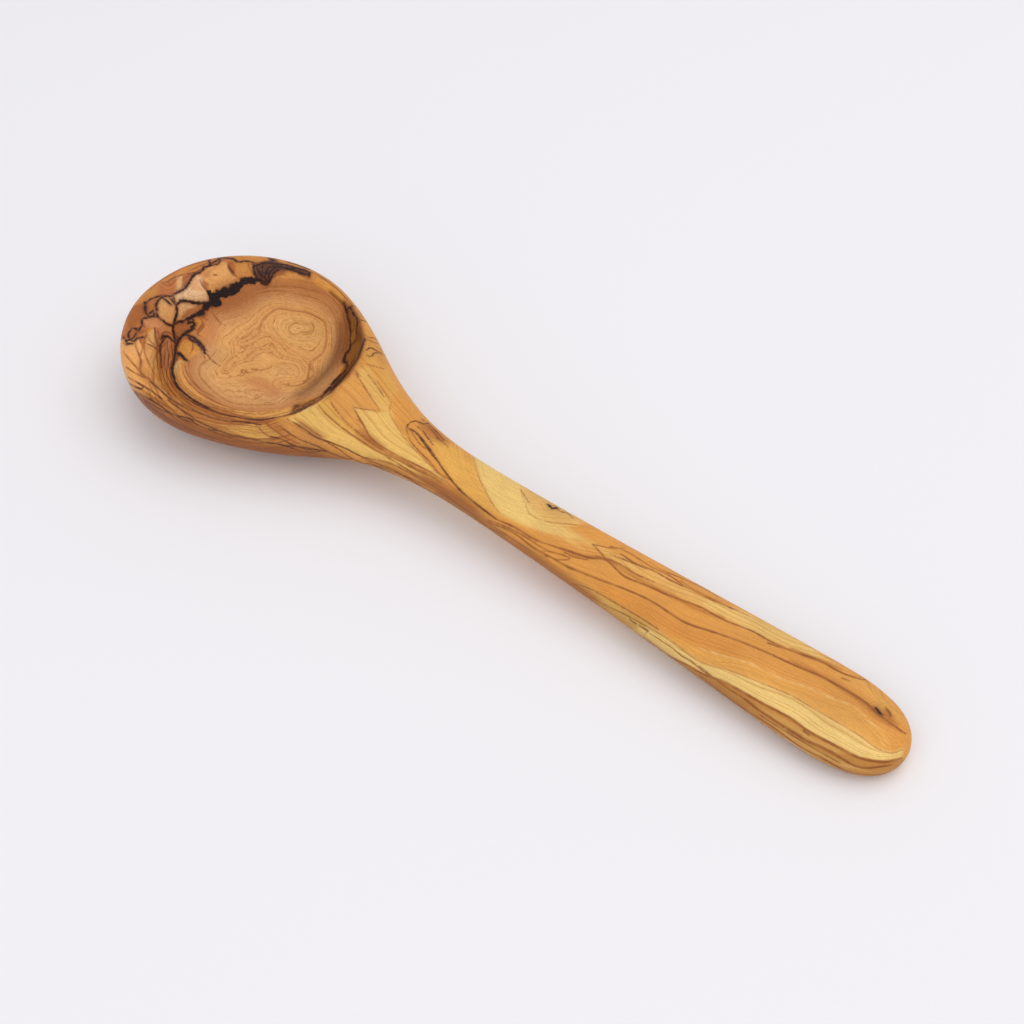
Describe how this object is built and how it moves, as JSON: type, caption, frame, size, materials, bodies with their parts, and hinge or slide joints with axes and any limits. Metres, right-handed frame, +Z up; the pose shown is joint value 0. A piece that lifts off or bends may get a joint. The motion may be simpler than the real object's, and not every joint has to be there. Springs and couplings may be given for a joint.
{
  "type": "wooden ladle",
  "caption": "Carved one-piece olive wood ladle with a deep round bowl, a slim neck and a broad flat handle, lying as it rests.",
  "frame": {"origin": "on the table plane, under the middle of the ladle's bounding box", "axes": "+X along the ladle from the bowl to the handle's end, +Y across it, +Z up from the table it lies on"},
  "size_m": [0.3196, 0.0874, 0.0285],
  "materials": {
    "olive_wood": "olive wood, sanded smooth and oiled to a low satin gloss, golden brown with dark figure"
  },
  "bodies": {
    "root": {"ladle": "olive_wood"}
  },
  "joints": []
}
